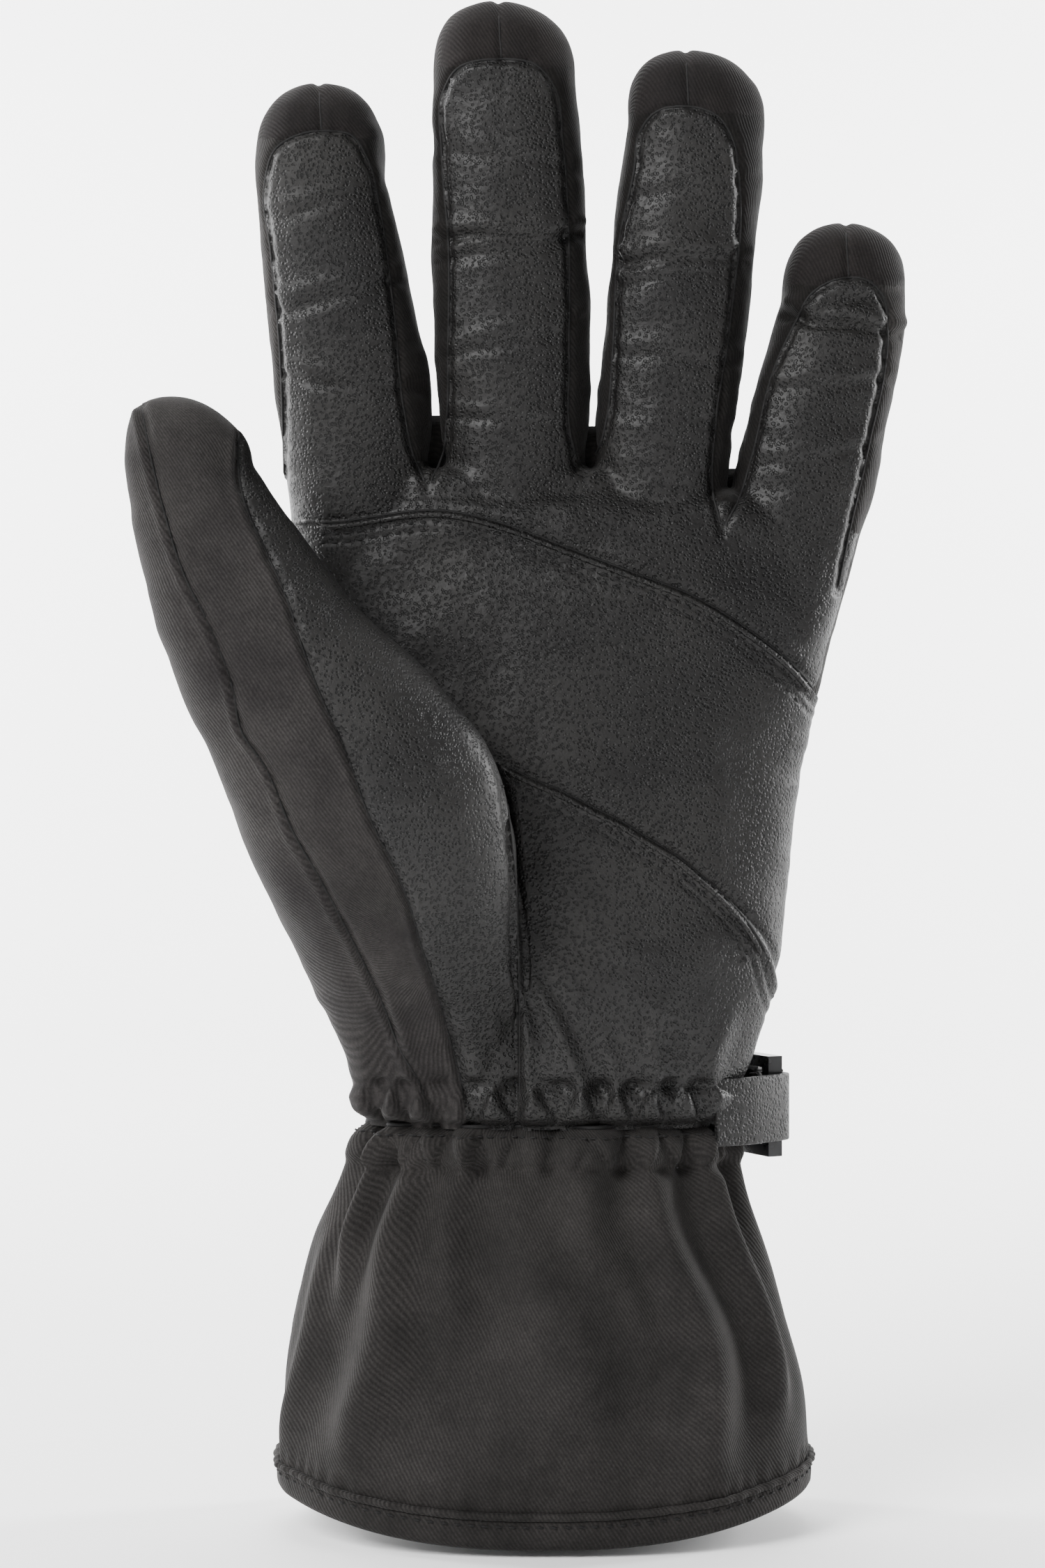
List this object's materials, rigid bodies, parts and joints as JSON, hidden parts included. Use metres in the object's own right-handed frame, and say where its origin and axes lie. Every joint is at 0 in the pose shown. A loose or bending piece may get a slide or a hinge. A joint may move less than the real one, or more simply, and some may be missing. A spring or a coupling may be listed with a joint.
{
  "type": "ski glove",
  "caption": "Left insulated ski glove with a leather palm, twill back, shirred wrist, side buckle and flared gauntlet cuff.",
  "frame": {"origin": "centre of the cuff opening, level with the lowest point of the hem", "axes": "+Z towards the fingertips, palm faces -Y, +X towards the little finger and the thumb is towards -X"},
  "size_m": [0.1483, 0.0787, 0.2859],
  "materials": {
    "leather": "satin, fine pitted grain",
    "twill": "matt, fine diagonal ribs",
    "cap_twill": "matt, fine diagonal ribs",
    "lining": "soft brushed",
    "insulation": "matt batting",
    "elastic": "matt, shirred",
    "webbing": "matt woven",
    "plastic": "gloss"
  },
  "bodies": {
    "hand": {"back_insulation": "insulation", "back_lining": "lining", "back_of_hand_panel": "twill", "cuff_back_panel": "twill", "cuff_lining": "lining", "cuff_palm_panel": "twill", "hem_binding": "twill", "hem_piping": "twill", "index_knuckle_gusset": "twill", "little_knuckle_gusset": "twill", "little_side_gusset": "twill", "middle_knuckle_gusset": "twill", "palm_centre_patch": "leather", "palm_heel_panel": "leather", "palm_lining": "lining", "palm_upper_panel": "leather", "ring_knuckle_gusset": "twill", "strap_tab": "leather", "thumb_base_leather": "leather", "thumb_base_twill": "twill", "thumb_knuckle_gusset": "twill", "thumb_side_gusset": "twill", "wrist_elastic": "elastic", "wrist_strap": "webbing"},
    "index": {"index_back_panel": "twill", "index_face_panel": "leather", "index_inner_fourchette": "twill", "index_lining": "lining", "index_outer_fourchette": "twill", "index_tip_cap": "cap_twill"},
    "middle": {"middle_back_panel": "twill", "middle_face_panel": "leather", "middle_inner_fourchette": "twill", "middle_lining": "lining", "middle_outer_fourchette": "twill", "middle_tip_cap": "cap_twill"},
    "ring": {"ring_back_panel": "twill", "ring_face_panel": "leather", "ring_inner_fourchette": "twill", "ring_lining": "lining", "ring_outer_fourchette": "twill", "ring_tip_cap": "cap_twill"},
    "little": {"little_back_panel": "twill", "little_face_panel": "leather", "little_inner_fourchette": "twill", "little_lining": "lining", "little_outer_fourchette": "twill", "little_tip_cap": "cap_twill"},
    "thumb": {"thumb_back_panel": "twill", "thumb_face_panel": "leather", "thumb_lining": "lining", "thumb_outer_panel": "twill", "thumb_tip_cap": "cap_twill", "thumb_web_panel": "twill"},
    "buckle": {"buckle_frame": "plastic", "strap_loop": "webbing"},
    "strap_tail": {"strap_tail": "webbing"}
  },
  "joints": [
    {"name": "index_knuckle", "type": "hinge", "parent": "hand", "child": "index", "pos_m": [-0.0342, -0.004, 0.194], "axis": [0.9874, 0, 0.1582], "range_deg": [0, 50], "stiffness_Nm_per_rad": 0.12, "deforming": ["index_knuckle_gusset"]},
    {"name": "middle_knuckle", "type": "hinge", "parent": "hand", "child": "middle", "pos_m": [-0.0049, -0.004, 0.199], "axis": [0.9991, 0, 0.0419], "range_deg": [0, 50], "stiffness_Nm_per_rad": 0.12, "deforming": ["middle_knuckle_gusset"]},
    {"name": "ring_knuckle", "type": "hinge", "parent": "hand", "child": "ring", "pos_m": [0.0221, -0.004, 0.196], "axis": [0.9954, 0, -0.0958], "range_deg": [0, 50], "stiffness_Nm_per_rad": 0.12, "deforming": ["ring_knuckle_gusset"]},
    {"name": "little_knuckle", "type": "hinge", "parent": "hand", "child": "little", "pos_m": [0.0468, -0.0032, 0.185], "axis": [0.9763, 0, -0.2164], "range_deg": [0, 50], "stiffness_Nm_per_rad": 0.12, "deforming": ["little_knuckle_gusset"]},
    {"name": "thumb_knuckle", "type": "hinge", "parent": "hand", "child": "thumb", "pos_m": [-0.032, -0.034, 0.131], "axis": [0, 1, 0], "range_deg": [-15, 5], "stiffness_Nm_per_rad": 0.12, "deforming": ["thumb_knuckle_gusset"]},
    {"name": "buckle_tilt", "type": "hinge", "parent": "hand", "child": "buckle", "pos_m": [0.0433, 0.0006, 0.0775], "axis": [0, 0, -1], "range_deg": [0, 35], "stiffness_Nm_per_rad": 0.01},
    {"name": "strap_pull", "type": "slide", "parent": "buckle", "child": "strap_tail", "axis": [-0.46, 0.8879, 0], "range_m": [0, 0.008]}
  ]
}
